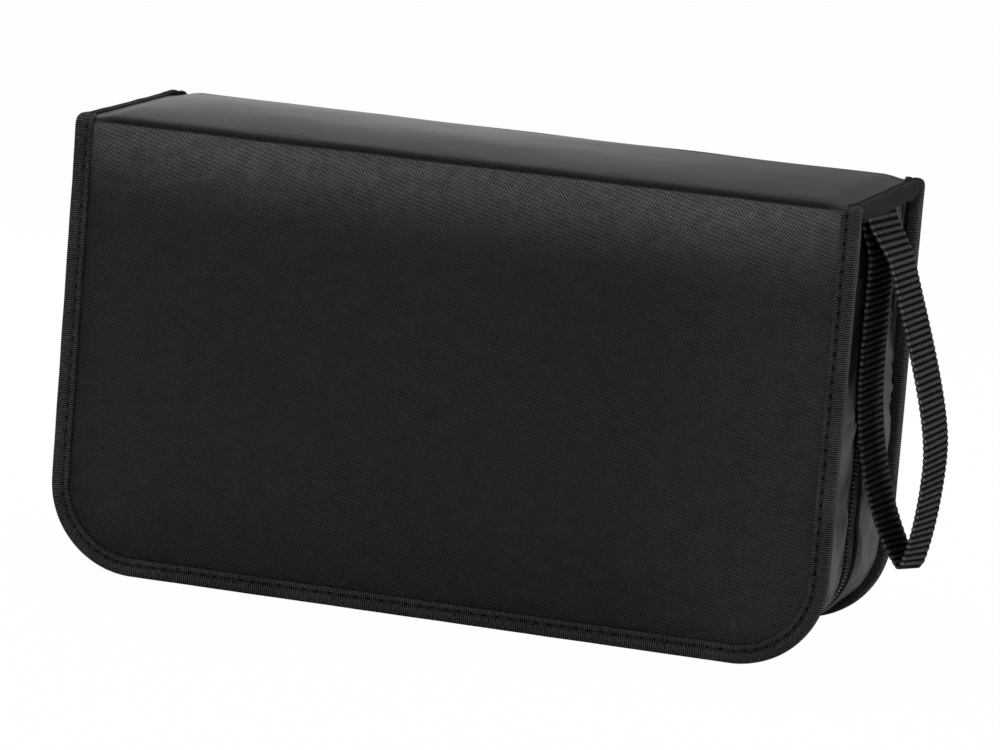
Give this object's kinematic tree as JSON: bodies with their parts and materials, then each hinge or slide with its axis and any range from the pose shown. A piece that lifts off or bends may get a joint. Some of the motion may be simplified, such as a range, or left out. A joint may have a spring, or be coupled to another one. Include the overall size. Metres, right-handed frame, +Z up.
{
  "type": "cd storage case",
  "caption": "Zip-round padded fabric wallet for discs, standing on its zip edge, with bound covers, pocket leaves, a zip slider and a webbing wrist strap.",
  "frame": {"origin": "centre of the base of the whole part's box, on the surface that the case stands on", "axes": "+X along the case towards the wrist strap, -Y out of the front cover, +Z up to the spine"},
  "size_m": [0.3242, 0.105, 0.171],
  "materials": {
    "cover_fabric": "black diagonal twill with a slight sheen",
    "gusset_fabric": "plain black taffeta",
    "binding_tape": "ribbed black grosgrain tape with one stitch line",
    "strap_webbing": "ribbed black webbing",
    "lining_fabric": "smooth black lining",
    "zip_tape": "woven black zip tape",
    "zip_coil": "black nylon coil",
    "slider_metal": "black enamel",
    "foam_pad": "grey foam",
    "stiff_board": "grey board",
    "leaf_film": "clear film over thin felt"
  },
  "bodies": {
    "spine": {"spine_fabric": "cover_fabric", "spine_foam": "foam_pad", "spine_board": "stiff_board", "spine_lining": "lining_fabric", "spine_binding_left": "binding_tape", "spine_binding_right": "binding_tape", "gusset_end_left": "gusset_fabric", "gusset_end_right": "gusset_fabric", "zip_end_tape_left": "zip_tape", "zip_end_tape_right": "zip_tape", "zip_end_chain_left": "zip_coil", "zip_end_chain_right": "zip_coil", "wrist_strap": "strap_webbing", "sleeve_leaves": "leaf_film", "leaf_strip": "lining_fabric"},
    "front_cover": {"front_cover_fabric": "cover_fabric", "front_cover_foam": "foam_pad", "front_cover_board": "stiff_board", "front_cover_lining": "lining_fabric", "front_binding": "binding_tape", "front_gusset": "gusset_fabric", "front_zip_tape": "zip_tape", "front_zip_coil": "zip_coil"},
    "rear_cover": {"rear_cover_fabric": "cover_fabric", "rear_cover_foam": "foam_pad", "rear_cover_board": "stiff_board", "rear_cover_lining": "lining_fabric", "rear_binding": "binding_tape", "rear_gusset": "gusset_fabric", "rear_zip_tape": "zip_tape", "rear_zip_coil": "zip_coil"},
    "slider": {"zip_slider": "slider_metal"},
    "pull": {"zip_pull": "slider_metal"}
  },
  "joints": [
    {"name": "front_cover_fold", "type": "hinge", "parent": "spine", "child": "front_cover", "pos_m": [-0.01215, -0.0468, 0.1668], "axis": [-1, 0, 0], "range_deg": [0, 90]},
    {"name": "rear_cover_fold", "type": "hinge", "parent": "spine", "child": "rear_cover", "pos_m": [-0.01215, 0.0468, 0.1668], "axis": [1, 0, 0], "range_deg": [0, 90]},
    {"name": "slider_run", "type": "slide", "parent": "spine", "child": "slider", "axis": [0, 0, -1], "range_m": [0, 0.095]},
    {"name": "pull_swing", "type": "hinge", "parent": "slider", "child": "pull", "pos_m": [-0.16015, 0, 0.1505], "axis": [0, 1, 0], "range_deg": [0, 150]}
  ]
}
